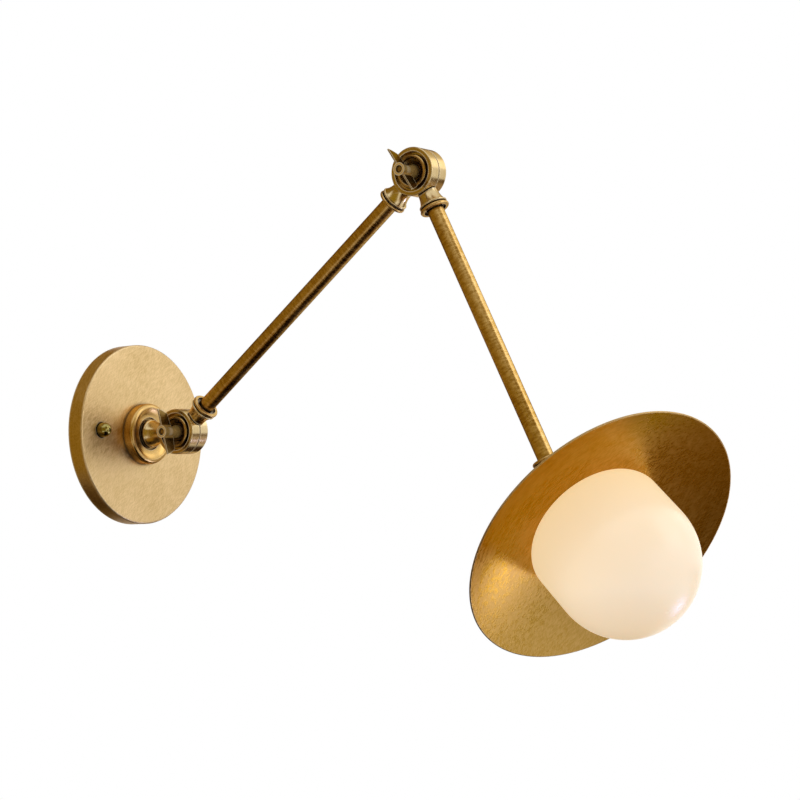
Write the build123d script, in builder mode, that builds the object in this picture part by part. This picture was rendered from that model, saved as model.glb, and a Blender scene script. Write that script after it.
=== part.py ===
"""Adjustable wall lamp: a round canopy, two arms on friction knuckles and a dished shade with a globe.

Sizes are millimetres and degrees. The canopy's back lies in the wall plane y = 0 with its centre at the
origin. The lamp reaches out along -Y, +Z is up, and the wing nuts of the arms face -X.
"""

import os
from math import cos, pi, radians, sin, sqrt

from build123d import *

# Pose of the arms and the shade
arm_1_rise = 37.0
arm_2_fall = 65.75
shade_fall = 34.7
shade_turn = 35.2

# Distances between the pivots
pivot_reach = 37.1
arm_1_length = 264.5
arm_2_length = 232.0
shade_reach = 51.0

# Canopy
plate_diameter = 129.6
plate_depth = 12.4
plate_wall = 1.6
plate_edge = 1.2
stud_spacing = 88.9
stud_dip = 4.0
stud_diameter = 4.0
stud_end = 3.0
cap_nut_diameter = 10.2
cap_nut_skirt = 3.4
cap_nut_height = 8.5
cap_seat_diameter = 11.4
cap_seat_depth = 0.6

# Crossbar behind the canopy
crossbar_overhang = 8.0
crossbar_width = 18.0
crossbar_thickness = 2.4
box_screw_spacing = 69.85
box_screw_hole = 4.8
wire_hole = 12.0
stud_nut_flats = 7.0
stud_nut_height = 2.6
ground_screw_place = 20.0
ground_screw_diameter = 3.5
ground_head_flats = 8.0
ground_head_height = 2.8

# Escutcheon between the canopy and the wall neck
escutcheon_diameter = 43.6
escutcheon_height = 8.4
escutcheon_edge = 3.0
escutcheon_dish = 2.4
escutcheon_groove_width = 1.6
escutcheon_groove_depth = 1.2

# Threaded nipples and their nuts
nipple_diameter = 9.6
nipple_bore = 6.4
nipple_nut_flats = 14.0
nipple_nut_height = 2.6
lock_washer_diameter = 17.0
lock_washer_thickness = 0.8

# Leads behind the canopy
lead_diameter = 2.2
lead_pair_spacing = 3.2
lead_bend = 2.4
lead_run = 22.0
connector_length = 16.0
connector_mouth_diameter = 8.6
connector_tip_diameter = 5.6
connector_grip = 6.0

# Knuckle discs
disc_diameter = 32.2
disc_thickness = 8.5
disc_edge = 0.7
seam_edge = 0.3
friction_thickness = 0.5
friction_width = 4.4
disc_clearance = 0.5
chamber_diameter = 21.0
chamber_depth = 4.2
boss_diameter = 10.0

# Pivot bolts, cup washers and wing nuts
bolt_diameter = 5.0
bolt_head_diameter = 10.6
bolt_head_height = 3.0
bolt_head_seat = 1.5
bolt_recess = 1.0
cup_diameter = 22.6
cup_height = 3.8
cup_seat_depth = 3.2
cup_rim = 2.6
cup_floor = 0.8
cup_floor_diameter = 12.0
cup_groove = 1.9
barrel_length = 16.9
barrel_foot_diameter = 9.4
barrel_waist_diameter = 6.2
barrel_end_diameter = 8.6
barrel_foot_height = 1.2
wing_span = 33.6
wing_thickness = 1.1
wing_inset = 1.2
wing_root_height = 10.0
wing_tip_height = 8.4
wing_tip_slant = 3.6
wing_tip_bow = 0.5
wall_wing_turn = 103.0
elbow_wing_turn = 85.0
shade_wing_turn = 60.0

# Stems of the knuckles
neck_diameter = 13.4
stem_root = 8.0
socket_web = 0.5
ring_bulge = 0.7
stem_groove_width = 1.0
stem_groove_depth = 1.6
tube_neck_length = 10.4
tube_ring_diameter = 19.0
tube_ring_thickness = 1.6
foot_ring_diameter = 20.4
foot_ring_thickness = 2.4
swivel_neck_length = 2.8
swivel_ring_thickness = 1.3
shade_ring_diameter = 20.4
shade_ring_thickness = 1.8

# Arms
tube_diameter = 11.1
tube_wall = 0.55
pipe_diameter = 9.6
pipe_bore = 6.4
flex_diameter = 5.8
ferrule_diameter = 19.8
ferrule_height = 2.0
ferrule_cup_diameter = 15.2
ferrule_cup_depth = 1.5
ferrule_bulge = 0.5

# Swivel at the lower end of the second arm
spigot_diameter = 8.0
spigot_bore = 5.0
bushing_length = 14.0
clip_diameter = 9.2
clip_height = 1.2
clip_play = 0.3
spigot_end = 1.0
pipe_room = 2.0

# Shade
shade_diameter = 184.8
dish_depth = 19.8
dish_thickness = 1.2
shade_cap_diameter = 40.0
shade_cap_height = 4.0
shade_cap_edge = 1.6

# Globe and its gallery
globe_diameter = 92.0
globe_centre = 24.1
globe_wall = 3.0
globe_corner = 10.0
globe_lip = 4.0
globe_clearance = 0.6
gallery_flange = 2.6
gallery_flange_edge = 0.7
gallery_wall = 2.0
gallery_base = 3.2
gallery_lip = 0.6
gasket_thickness = 1.0
lock_ring_width = 3.6
lock_ring_height = 3.0

# Lampholder and bulb
holder_diameter = 38.0
holder_height = 30.0
holder_base = 6.0
holder_socket_depth = 4.0
shell_diameter = 27.8
shell_wall = 0.6
shell_inset = 1.5
contact_diameter = 8.0
contact_height = 1.4
bulb_cap_diameter = 26.0
bulb_cap_length = 23.0
bulb_cap_wall = 0.5
bulb_cap_base = 2.5
bulb_neck_diameter = 25.8
bulb_neck_length = 2.0
bulb_diameter = 46.0
bulb_wall = 0.9

# Fits between pieces
thread_fit = 0.05
running_fit = 0.05
seat_fit = 0.1
hole_clearance = 0.3

# Radii and places worked out from the sizes above
plate_radius = plate_diameter / 2
stud_circle = stud_spacing / 2
disc_radius = disc_diameter / 2
neck_radius = neck_diameter / 2
bolt_radius = bolt_diameter / 2
nipple_radius = nipple_diameter / 2
tube_radius = tube_diameter / 2
tube_bore_radius = tube_radius - tube_wall
globe_radius = globe_diameter / 2
shade_radius = shade_diameter / 2
foot_seat = escutcheon_height - escutcheon_dish
foot_stem_reach = pivot_reach - foot_seat
tube_stem_reach = disc_radius + tube_neck_length
swivel_stem_reach = disc_radius + swivel_neck_length
swivel_seat = swivel_stem_reach + running_fit
shade_stem_reach = shade_reach - dish_depth - dish_thickness - shade_cap_height
socket_floor = disc_radius + disc_clearance + socket_web
disc_face = friction_thickness / 2 + disc_thickness
cup_seat = disc_face - cup_seat_depth
nut_seat = cup_seat + cup_floor
nut_foot = nut_seat + running_fit
nut_end = nut_seat + barrel_length

# Pivots and directions at rest
across = Vector(1, 0, 0)
to_wall = Vector(0, 1, 0)
arm_1_way = Vector(0, -cos(radians(arm_1_rise)), sin(radians(arm_1_rise)))
arm_2_way = Vector(0, -cos(radians(arm_2_fall)), -sin(radians(arm_2_fall)))
swivel_axis = Axis((0, 0, 0), arm_2_way)
shade_way = Vector(0, -cos(radians(shade_fall)), -sin(radians(shade_fall))).rotate(swivel_axis, shade_turn)
shade_across = across.rotate(swivel_axis, shade_turn)
wall_pivot = Vector(0, -plate_depth - pivot_reach, 0)
elbow_pivot = wall_pivot + arm_1_way * arm_1_length
shade_pivot = elbow_pivot + arm_2_way * arm_2_length

# Frames: z runs along the stem or the axle away from the pivot
wall_frame = Plane(origin=(0, 0, 0), x_dir=across, z_dir=-to_wall)
base_stem = Plane(origin=wall_pivot, x_dir=across, z_dir=to_wall)
arm_1_lower = Plane(origin=wall_pivot, x_dir=across, z_dir=arm_1_way)
arm_1_upper = Plane(origin=elbow_pivot, x_dir=across, z_dir=-arm_1_way)
arm_2_upper = Plane(origin=elbow_pivot, x_dir=across, z_dir=arm_2_way)
arm_2_lower = Plane(origin=shade_pivot, x_dir=shade_across, z_dir=-arm_2_way)
shade_stem = Plane(origin=shade_pivot, x_dir=shade_across, z_dir=shade_way)
near = -1
far = 1


def turning_plane(frame):
    """Profile plane of a turned piece: x is the radius and y runs along the frame's axis."""
    return Plane(origin=frame.origin, x_dir=frame.x_dir, z_dir=-frame.y_dir)


def turning_axis(frame):
    return Axis(frame.origin, frame.z_dir)


def axle_frame(stem):
    """Frame whose axis leaves a knuckle on its wing nut's side."""
    return Plane(origin=stem.origin, x_dir=stem.z_dir, z_dir=-stem.x_dir)


def disc_plane(stem, offset, facing):
    """Plane square to a knuckle's pivot, offset along it."""
    return Plane(origin=stem.origin + stem.x_dir * offset, x_dir=stem.z_dir, z_dir=stem.x_dir * facing)


def turned(frame, corners):
    """A piece turned about the frame's axis from its corners, each a radius and a height."""
    with BuildPart() as piece:
        with BuildSketch(turning_plane(frame)):
            with BuildLine():
                Polyline(*corners, close=True)
            make_face()
        revolve(axis=turning_axis(frame))
    return piece.part


def sleeve(frame, outer, bore, start, end):
    """A plain tube between two heights on the frame's axis."""
    with BuildPart() as piece:
        with BuildSketch(frame.offset(start)):
            Circle(outer)
            Circle(bore, mode=Mode.SUBTRACT)
        extrude(amount=end - start)
    return piece.part


def hex_nut(frame, flats, bore, start, end):
    with BuildPart() as piece:
        with BuildSketch(frame.offset(start)):
            RegularPolygon(flats / 2, 6, major_radius=False)
            Circle(bore, mode=Mode.SUBTRACT)
        extrude(amount=end - start)
    return piece.part


def knuckle_half(stem, side, reach, ring_diameter, ring_thickness, seat_diameter, seat_depth):
    """A disc on one side of the pivot with a flared neck that ends in a ring, a groove and a flat face."""
    ring_end = reach - stem_groove_width
    ring_start = ring_end - ring_thickness
    ring_radius = ring_diameter / 2
    end_radius = ring_radius - stem_groove_depth
    inner_face = side * friction_thickness / 2
    outward = Axis(stem.origin, stem.x_dir * side)
    with BuildPart() as half:
        with BuildSketch(disc_plane(stem, inner_face, side)):
            Circle(disc_radius)
        extrude(amount=disc_thickness)
        fillet(half.edges().filter_by(GeomType.CIRCLE).sort_by(outward)[0], radius=seam_edge)
        fillet(half.edges().filter_by(GeomType.CIRCLE).sort_by(outward)[-1], radius=disc_edge)
        with BuildSketch(turning_plane(stem)):
            with BuildLine():
                Polyline(
                    (0, ring_start), (0, stem_root), (neck_radius, stem_root), (neck_radius, disc_radius),
                )
                TangentArc(
                    (neck_radius, disc_radius), (ring_radius - ring_bulge, ring_start), tangent=(0, 1),
                )
                ThreePointArc(
                    (ring_radius - ring_bulge, ring_start),
                    (ring_radius, (ring_start + ring_end) / 2),
                    (ring_radius - ring_bulge, ring_end),
                )
                Polyline(
                    (ring_radius - ring_bulge, ring_end), (end_radius, ring_end), (end_radius, reach),
                    (0, reach), (0, ring_start),
                )
            make_face()
        revolve(axis=turning_axis(stem))
        with BuildSketch(disc_plane(stem, inner_face, -side)):
            Circle(disc_radius + disc_clearance)
        extrude(amount=friction_thickness + disc_thickness, mode=Mode.SUBTRACT)
        with BuildSketch(disc_plane(stem, inner_face, side)):
            Circle(chamber_diameter / 2)
            Circle(boss_diameter / 2, mode=Mode.SUBTRACT)
        extrude(amount=chamber_depth, mode=Mode.SUBTRACT)
        with BuildSketch(disc_plane(stem, inner_face, side)):
            Circle(bolt_radius + running_fit)
        extrude(amount=disc_thickness, mode=Mode.SUBTRACT)
        with BuildSketch(disc_plane(stem, side * disc_face, -side)):
            Circle(seat_diameter / 2)
        extrude(amount=seat_depth, mode=Mode.SUBTRACT)
    return half.part


def bored(piece, stem, reach, socket_radius):
    """A knuckle half with a threaded socket in its end and a way for the wires into the disc's chamber."""
    with BuildPart() as half:
        add(piece)
        with BuildSketch(stem.offset(reach)):
            Circle(socket_radius)
        extrude(amount=-(reach - socket_floor), mode=Mode.SUBTRACT)
        with BuildSketch(stem.offset(reach)):
            Circle(pipe_bore / 2)
        extrude(amount=-(reach - boss_diameter / 2 - hole_clearance), mode=Mode.SUBTRACT)
    return half.part


def near_half(stem, reach, ring_diameter, ring_thickness):
    """The half that carries the cup washer and the wing nut."""
    seat = cup_diameter + 2 * cup_groove
    return knuckle_half(stem, near, reach, ring_diameter, ring_thickness, seat, cup_seat_depth)


def far_half(stem, reach, ring_diameter, ring_thickness):
    """The half that the bolt's head rests on."""
    seat = bolt_head_diameter + 2 * hole_clearance
    return knuckle_half(stem, far, reach, ring_diameter, ring_thickness, seat, bolt_head_seat)


def friction_washer(stem):
    """A flat ring on the near disc, with a little play to the far disc that turns against it."""
    outer = disc_radius - seam_edge
    return sleeve(disc_plane(stem, 0, near), outer, outer - friction_width,
                  running_fit - friction_thickness / 2, friction_thickness / 2)


def cup_washer(stem):
    """A dished washer whose round bead stands out of its seat in the near disc."""
    bead = cup_rim / 2
    bead_top = cup_seat + cup_height
    bead_base = bead_top - bead
    cup_radius = cup_diameter / 2
    bore = bolt_radius + hole_clearance
    with BuildPart() as washer:
        with BuildSketch(turning_plane(axle_frame(stem))):
            with BuildLine():
                ThreePointArc(
                    (cup_radius, bead_base),
                    (cup_radius - bead, bead_top),
                    (cup_radius - cup_rim, bead_base),
                )
                Polyline(
                    (cup_radius - cup_rim, bead_base), (cup_floor_diameter / 2, nut_seat), (bore, nut_seat),
                    (bore, cup_seat), (cup_radius, cup_seat), (cup_radius, bead_base),
                )
            make_face()
        revolve(axis=turning_axis(axle_frame(stem)))
    return washer.part


def pivot_bolt(stem):
    """A bolt with a low domed head on the far disc and its end inside the wing nut."""
    head_seat = bolt_head_seat - disc_face - running_fit
    head_radius = bolt_head_diameter / 2
    dome_base = head_seat - bolt_head_height / 2
    with BuildPart() as bolt:
        with BuildSketch(turning_plane(axle_frame(stem))):
            with BuildLine():
                Polyline(
                    (0, head_seat - bolt_head_height), (0, nut_end - bolt_recess),
                    (bolt_radius, nut_end - bolt_recess), (bolt_radius, head_seat),
                    (head_radius, head_seat), (head_radius, dome_base),
                )
                TangentArc((0, head_seat - bolt_head_height), (head_radius, dome_base), tangent=(1, 0))
            make_face()
        revolve(axis=turning_axis(axle_frame(stem)))
    return bolt.part


def wing_nut(stem, turn):
    """A waisted barrel with two leaf-shaped wings, turned about the pivot from the stem's direction."""
    axle = axle_frame(stem)
    wing_way = Vector(stem.z_dir).rotate(Axis((0, 0, 0), -stem.x_dir), turn)
    leaf_plane = Plane(origin=stem.origin, x_dir=wing_way, z_dir=wing_way.cross(-stem.x_dir))
    wing_top = nut_end - wing_inset
    wing_low = wing_top - wing_root_height
    tip_low = wing_top - wing_tip_height
    root = bolt_radius + running_fit
    tip = wing_span / 2
    bow = (tip - wing_tip_slant / 2 + wing_tip_bow, (wing_top + tip_low) / 2)
    foot_top = nut_foot + barrel_foot_height
    with BuildPart() as nut:
        with BuildSketch(turning_plane(axle)):
            with BuildLine():
                Polyline(
                    (barrel_end_diameter / 2, nut_end), (0, nut_end), (0, nut_foot),
                    (barrel_foot_diameter / 2, nut_foot), (barrel_foot_diameter / 2, foot_top),
                )
                ThreePointArc(
                    (barrel_foot_diameter / 2, foot_top),
                    (barrel_waist_diameter / 2, (foot_top + nut_end) / 2),
                    (barrel_end_diameter / 2, nut_end),
                )
            make_face()
        revolve(axis=turning_axis(axle))
        with BuildSketch(leaf_plane):
            with BuildLine():
                Polyline(
                    (tip, wing_top), (root, wing_top), (root, wing_low), (tip - wing_tip_slant, tip_low),
                )
                ThreePointArc((tip - wing_tip_slant, tip_low), bow, (tip, wing_top))
            make_face()
            mirror(about=Plane.YZ)
        extrude(amount=wing_thickness / 2, both=True)
        with BuildSketch(axle.offset(nut_seat)):
            Circle(bolt_radius + running_fit)
        extrude(amount=barrel_length, mode=Mode.SUBTRACT)
    return nut.part


def ferrule(stem, start):
    """A cupped ring round the tube's end, with its hollow facing along the tube."""
    end = start + ferrule_height
    rim = ferrule_diameter / 2 - ferrule_bulge
    bore = tube_radius + thread_fit
    cup = ferrule_cup_diameter / 2
    with BuildPart() as ring:
        with BuildSketch(turning_plane(stem)):
            with BuildLine():
                ThreePointArc((rim, start), (ferrule_diameter / 2, (start + end) / 2), (rim, end))
                Polyline(
                    (rim, end), (cup, end), (cup, end - ferrule_cup_depth),
                    (bore, end - ferrule_cup_depth), (bore, start), (rim, start),
                )
            make_face()
        revolve(axis=turning_axis(stem))
    return ring.part


def dish_height(radius, shell_radius):
    """Height of the dish's inner or outer sphere on the shade's axis, at a radius from it."""
    return dish_centre - sqrt(shell_radius ** 2 - radius ** 2)


def save(part, name):
    part.label = name
    export_step(part, f"parts/{name}.step")


os.makedirs("parts", exist_ok=True)

# Canopy: a turned shell, open at the wall, with seats for the two cap nuts
plate_floor = plate_depth - plate_wall
cap_seat_floor = plate_depth - cap_seat_depth
with BuildPart() as back_plate:
    with BuildSketch(wall_frame):
        Circle(plate_radius)
    extrude(amount=plate_depth)
    fillet(back_plate.faces().sort_by(Axis.Y)[0].edges(), radius=plate_edge)
    with BuildSketch(wall_frame):
        Circle(plate_radius - plate_wall)
    extrude(amount=plate_floor, mode=Mode.SUBTRACT)
    with BuildSketch(wall_frame):
        Circle(nipple_radius + hole_clearance)
        with PolarLocations(stud_circle, 2, start_angle=-stud_dip):
            Circle(stud_diameter / 2 + hole_clearance)
    extrude(amount=plate_depth, mode=Mode.SUBTRACT)
    with BuildSketch(wall_frame.offset(cap_seat_floor)):
        with PolarLocations(stud_circle, 2, start_angle=-stud_dip):
            Circle(cap_seat_diameter / 2)
    extrude(amount=cap_seat_depth, mode=Mode.SUBTRACT)
save(back_plate.part, "back_plate")

# Crossbar: holes for the box screws, the studs, the earth screw and the wires
with BuildPart() as crossbar:
    with BuildSketch(wall_frame):
        SlotOverall(stud_spacing + 2 * crossbar_overhang, crossbar_width)
        Circle(wire_hole / 2, mode=Mode.SUBTRACT)
        with GridLocations(box_screw_spacing, 0, 2, 1):
            Circle(box_screw_hole / 2, mode=Mode.SUBTRACT)
        with PolarLocations(stud_circle, 2, start_angle=-stud_dip):
            Circle(stud_diameter / 2 + thread_fit, mode=Mode.SUBTRACT)
        with Locations((ground_screw_place, 0)):
            Circle(ground_screw_diameter / 2 + thread_fit, mode=Mode.SUBTRACT)
    extrude(amount=crossbar_thickness)
save(crossbar.part, "crossbar")

with BuildPart() as canopy_studs:
    with BuildSketch(wall_frame):
        with PolarLocations(stud_circle, 2, start_angle=-stud_dip):
            Circle(stud_diameter / 2)
    extrude(amount=plate_depth + stud_end)
save(canopy_studs.part, "canopy_studs")

with BuildPart() as stud_lock_nuts:
    with BuildSketch(wall_frame.offset(crossbar_thickness)):
        with PolarLocations(stud_circle, 2, start_angle=-stud_dip):
            RegularPolygon(stud_nut_flats / 2, 6, major_radius=False)
            Circle(stud_diameter / 2 + thread_fit, mode=Mode.SUBTRACT)
    extrude(amount=stud_nut_height)
save(stud_lock_nuts.part, "stud_lock_nuts")

# Cap nuts: a short skirt under a dome, bored for the stud's end
cap_dome_base = cap_seat_floor + cap_nut_skirt
cap_nut_top = cap_seat_floor + cap_nut_height
with BuildPart() as canopy_cap_nuts:
    for turn in (-stud_dip, 180 - stud_dip):
        stud_place = Vector(stud_circle, 0, 0).rotate(Axis.Z, turn)
        stud_frame = wall_frame.shift_origin(wall_frame.from_local_coords(stud_place))
        with BuildSketch(turning_plane(stud_frame)):
            with BuildLine():
                TangentArc((0, cap_nut_top), (cap_nut_diameter / 2, cap_dome_base), tangent=(1, 0))
                Polyline(
                    (0, cap_nut_top), (0, cap_seat_floor),
                    (cap_nut_diameter / 2, cap_seat_floor), (cap_nut_diameter / 2, cap_dome_base),
                )
            make_face()
        revolve(axis=turning_axis(stud_frame))
    with BuildSketch(wall_frame.offset(cap_seat_floor)):
        with PolarLocations(stud_circle, 2, start_angle=-stud_dip):
            Circle(stud_diameter / 2 + thread_fit)
    extrude(amount=stud_end + cap_seat_depth, mode=Mode.SUBTRACT)
save(canopy_cap_nuts.part, "canopy_cap_nuts")

with BuildPart() as ground_screw:
    with BuildSketch(wall_frame):
        with Locations((ground_screw_place, 0)):
            Circle(ground_screw_diameter / 2)
    extrude(amount=crossbar_thickness)
    with BuildSketch(wall_frame.offset(crossbar_thickness)):
        with Locations((ground_screw_place, 0)):
            RegularPolygon(ground_head_flats / 2, 6, major_radius=False)
    extrude(amount=ground_head_height)
save(ground_screw.part, "ground_screw")

# Nipple, washer and nut that hold the wall neck to the canopy
washer_back = plate_floor - lock_washer_thickness
nut_back = washer_back - nipple_nut_height
lead_height = connector_mouth_diameter / 2 + hole_clearance
nipple_back = lead_height + lead_bend
nipple_front = plate_depth + pivot_reach - socket_floor
wall_nipple = sleeve(wall_frame, nipple_radius, nipple_bore / 2, nipple_back, nipple_front)
save(wall_nipple, "wall_nipple")

nipple_lock_washer = sleeve(
    wall_frame, lock_washer_diameter / 2, nipple_radius + thread_fit, washer_back, plate_floor)
save(nipple_lock_washer, "nipple_lock_washer")

nipple_lock_nut = hex_nut(wall_frame, nipple_nut_flats, nipple_radius + thread_fit, nut_back, washer_back)
save(nipple_lock_nut, "nipple_lock_nut")

# Escutcheon: a rosette with a rounded rim, a dished face and a groove round the neck's foot
escutcheon_radius = escutcheon_diameter / 2
escutcheon_front = plate_depth + escutcheon_height
escutcheon_hole = nipple_radius + hole_clearance
foot_height = plate_depth + foot_seat
groove_floor = foot_height - escutcheon_groove_depth
groove_inner = foot_ring_diameter / 2
groove_outer = groove_inner + escutcheon_groove_width
with BuildPart() as escutcheon:
    with BuildSketch(turning_plane(wall_frame)):
        with BuildLine():
            Polyline(
                (groove_outer, foot_height), (groove_outer, groove_floor), (groove_inner, groove_floor),
                (groove_inner, foot_height), (escutcheon_hole, foot_height), (escutcheon_hole, plate_depth),
                (escutcheon_radius, plate_depth), (escutcheon_radius, escutcheon_front - escutcheon_edge),
            )
            TangentArc(
                (escutcheon_radius, escutcheon_front - escutcheon_edge),
                (escutcheon_radius - escutcheon_edge, escutcheon_front), tangent=(0, 1),
            )
            TangentArc(
                (groove_outer, foot_height), (escutcheon_radius - escutcheon_edge, escutcheon_front),
                tangent=(1, 0),
            )
        make_face()
    revolve(axis=turning_axis(wall_frame))
save(escutcheon.part, "escutcheon")

# Leads: out of the nipple, round a bend and along the wall, one up and one down
lead_start = plate_depth
with BuildPart() as canopy_leads:
    for way in (1, -1):
        lead_side = way * lead_pair_spacing / 2
        bend_start = Vector(lead_side, -nipple_back, 0)
        bend_end = Vector(lead_side, -lead_height, way * lead_bend)
        with BuildLine() as route:
            Line((lead_side, -lead_start, 0), bend_start)
            TangentArc(bend_start, bend_end, tangent=(0, 1, 0))
            Line(bend_end, (lead_side, -lead_height, way * (lead_run + connector_grip)))
        with BuildSketch(Plane(origin=(lead_side, -lead_start, 0), x_dir=across, z_dir=to_wall)):
            Circle(lead_diameter / 2)
        sweep(path=route.line)
save(canopy_leads.part, "canopy_leads")

with BuildPart() as wire_connectors:
    for way in (1, -1):
        mouth_place = (way * lead_pair_spacing / 2, -lead_height, way * lead_run)
        mouth = Plane(origin=mouth_place, x_dir=across, z_dir=(0, 0, way))
        with BuildSketch(turning_plane(mouth)):
            with BuildLine():
                Polyline(
                    (lead_diameter / 2 + thread_fit, 0), (connector_mouth_diameter / 2, 0),
                    (connector_tip_diameter / 2, connector_length), (0, connector_length),
                    (0, connector_grip), (lead_diameter / 2 + thread_fit, connector_grip), close=True,
                )
            make_face()
        revolve(axis=turning_axis(mouth))
save(wire_connectors.part, "wire_connectors")

# Wall knuckle: the near half stands on the escutcheon, the far half carries the first arm
socket_radius = nipple_radius + thread_fit
pipe_socket = pipe_diameter / 2 + thread_fit
wall_knuckle_near = bored(
    near_half(base_stem, foot_stem_reach, foot_ring_diameter, foot_ring_thickness),
    base_stem, foot_stem_reach, socket_radius)
save(wall_knuckle_near, "wall_knuckle_near")
wall_knuckle_far = bored(
    far_half(arm_1_lower, tube_stem_reach, tube_ring_diameter, tube_ring_thickness),
    arm_1_lower, tube_stem_reach, pipe_socket)
save(wall_knuckle_far, "wall_knuckle_far")

# Elbow knuckle: the near half ends the first arm, the far half starts the second
elbow_knuckle_near = bored(
    near_half(arm_1_upper, tube_stem_reach, tube_ring_diameter, tube_ring_thickness),
    arm_1_upper, tube_stem_reach, pipe_socket)
save(elbow_knuckle_near, "elbow_knuckle_near")
elbow_knuckle_far = bored(
    far_half(arm_2_upper, tube_stem_reach, tube_ring_diameter, tube_ring_thickness),
    arm_2_upper, tube_stem_reach, pipe_socket)
save(elbow_knuckle_far, "elbow_knuckle_far")

# Shade knuckle: the near half swivels in the second arm, the far half carries the shade
bushing_end = swivel_stem_reach + bushing_length
clip_start = bushing_end + clip_play
spigot_top = clip_start + clip_height + spigot_end
with BuildPart() as shade_knuckle_near:
    add(near_half(arm_2_lower, swivel_stem_reach, tube_ring_diameter, swivel_ring_thickness))
    with BuildSketch(arm_2_lower.offset(swivel_stem_reach)):
        Circle(spigot_diameter / 2)
    extrude(amount=spigot_top - swivel_stem_reach)
    with BuildSketch(arm_2_lower.offset(spigot_top)):
        Circle(spigot_bore / 2)
    extrude(amount=-(spigot_top - boss_diameter / 2 - hole_clearance), mode=Mode.SUBTRACT)
save(shade_knuckle_near.part, "shade_knuckle_near")
shade_knuckle_far = bored(
    far_half(shade_stem, shade_stem_reach, shade_ring_diameter, shade_ring_thickness),
    shade_stem, shade_stem_reach, socket_radius)
save(shade_knuckle_far, "shade_knuckle_far")

# Washers, bolts and wing nuts of the three knuckles
knuckles = {
    "wall": (base_stem, wall_wing_turn),
    "elbow": (arm_1_upper, elbow_wing_turn),
    "shade": (arm_2_lower, shade_wing_turn),
}
for place, (stem, turn) in knuckles.items():
    save(friction_washer(stem), f"{place}_friction_washer")
    save(cup_washer(stem), f"{place}_cup_washer")
    save(pivot_bolt(stem), f"{place}_pivot_bolt")
    save(wing_nut(stem, turn), f"{place}_wing_nut")

# First arm: tube, inner pipe, flex and the ferrules at both ends
arm_1_tube_end = arm_1_length - tube_stem_reach
save(sleeve(arm_1_lower, tube_radius, tube_bore_radius, tube_stem_reach, arm_1_tube_end), "arm_1_tube")
arm_1_pipe_end = arm_1_length - socket_floor
save(sleeve(arm_1_lower, pipe_diameter / 2, pipe_bore / 2, socket_floor, arm_1_pipe_end), "arm_1_pipe")
with BuildPart() as arm_1_flex:
    with BuildSketch(arm_1_lower.offset(socket_floor)):
        Circle(flex_diameter / 2)
    extrude(amount=arm_1_pipe_end - socket_floor)
save(arm_1_flex.part, "arm_1_flex")
save(ferrule(arm_1_lower, tube_stem_reach), "arm_1_lower_ferrule")
save(ferrule(arm_1_upper, tube_stem_reach), "arm_1_upper_ferrule")

# Second arm: the same, with a bushing for the swivel's spigot at its lower end
arm_2_tube_end = arm_2_length - swivel_seat
arm_2_pipe_end = arm_2_length - spigot_top - pipe_room
save(sleeve(arm_2_upper, tube_radius, tube_bore_radius, tube_stem_reach, arm_2_tube_end), "arm_2_tube")
save(sleeve(arm_2_upper, pipe_diameter / 2, pipe_bore / 2, socket_floor, arm_2_pipe_end), "arm_2_pipe")
with BuildPart() as arm_2_flex:
    with BuildSketch(arm_2_upper.offset(socket_floor)):
        Circle(flex_diameter / 2)
    extrude(amount=arm_2_pipe_end - socket_floor)
save(arm_2_flex.part, "arm_2_flex")
save(ferrule(arm_2_upper, tube_stem_reach), "arm_2_upper_ferrule")
save(ferrule(arm_2_lower, swivel_seat), "arm_2_lower_ferrule")
swivel_bushing = sleeve(
    arm_2_lower, tube_bore_radius - thread_fit, spigot_diameter / 2 + running_fit, swivel_seat, bushing_end)
save(swivel_bushing, "swivel_bushing")
swivel_clip = sleeve(
    arm_2_lower, clip_diameter / 2, spigot_diameter / 2 + thread_fit, clip_start, clip_start + clip_height)
save(swivel_clip, "swivel_clip")

# Shade dish: a spherical shell with a rounded rim and a hole for the nipple
dish_inner = (shade_radius ** 2 + dish_depth ** 2) / (2 * dish_depth)
dish_outer = dish_inner + dish_thickness
dish_centre = shade_reach - dish_depth + dish_inner
dish_hole = nipple_radius + hole_clearance
rim_slope = shade_radius / dish_inner
rim_outer = rim_slope * dish_outer
rim_middle = rim_slope * (dish_inner + dish_thickness / 2)
rim_round = dish_thickness / 2
rim_tip = (
    rim_middle + rim_round * sqrt(1 - rim_slope ** 2),
    dish_height(rim_middle, dish_inner + dish_thickness / 2) + rim_round * rim_slope,
)
with BuildPart() as shade_dish:
    with BuildSketch(turning_plane(shade_stem)):
        with BuildLine():
            ThreePointArc(
                (dish_hole, dish_height(dish_hole, dish_inner)),
                (shade_radius / 2, dish_height(shade_radius / 2, dish_inner)),
                (shade_radius, shade_reach),
            )
            ThreePointArc(
                (shade_radius, shade_reach), rim_tip, (rim_outer, dish_height(rim_outer, dish_outer)),
            )
            ThreePointArc(
                (rim_outer, dish_height(rim_outer, dish_outer)),
                (shade_radius / 2, dish_height(shade_radius / 2, dish_outer)),
                (dish_hole, dish_height(dish_hole, dish_outer)),
            )
            Line(
                (dish_hole, dish_height(dish_hole, dish_outer)),
                (dish_hole, dish_height(dish_hole, dish_inner)),
            )
        make_face()
    revolve(axis=turning_axis(shade_stem))
save(shade_dish.part, "shade_dish")

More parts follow.
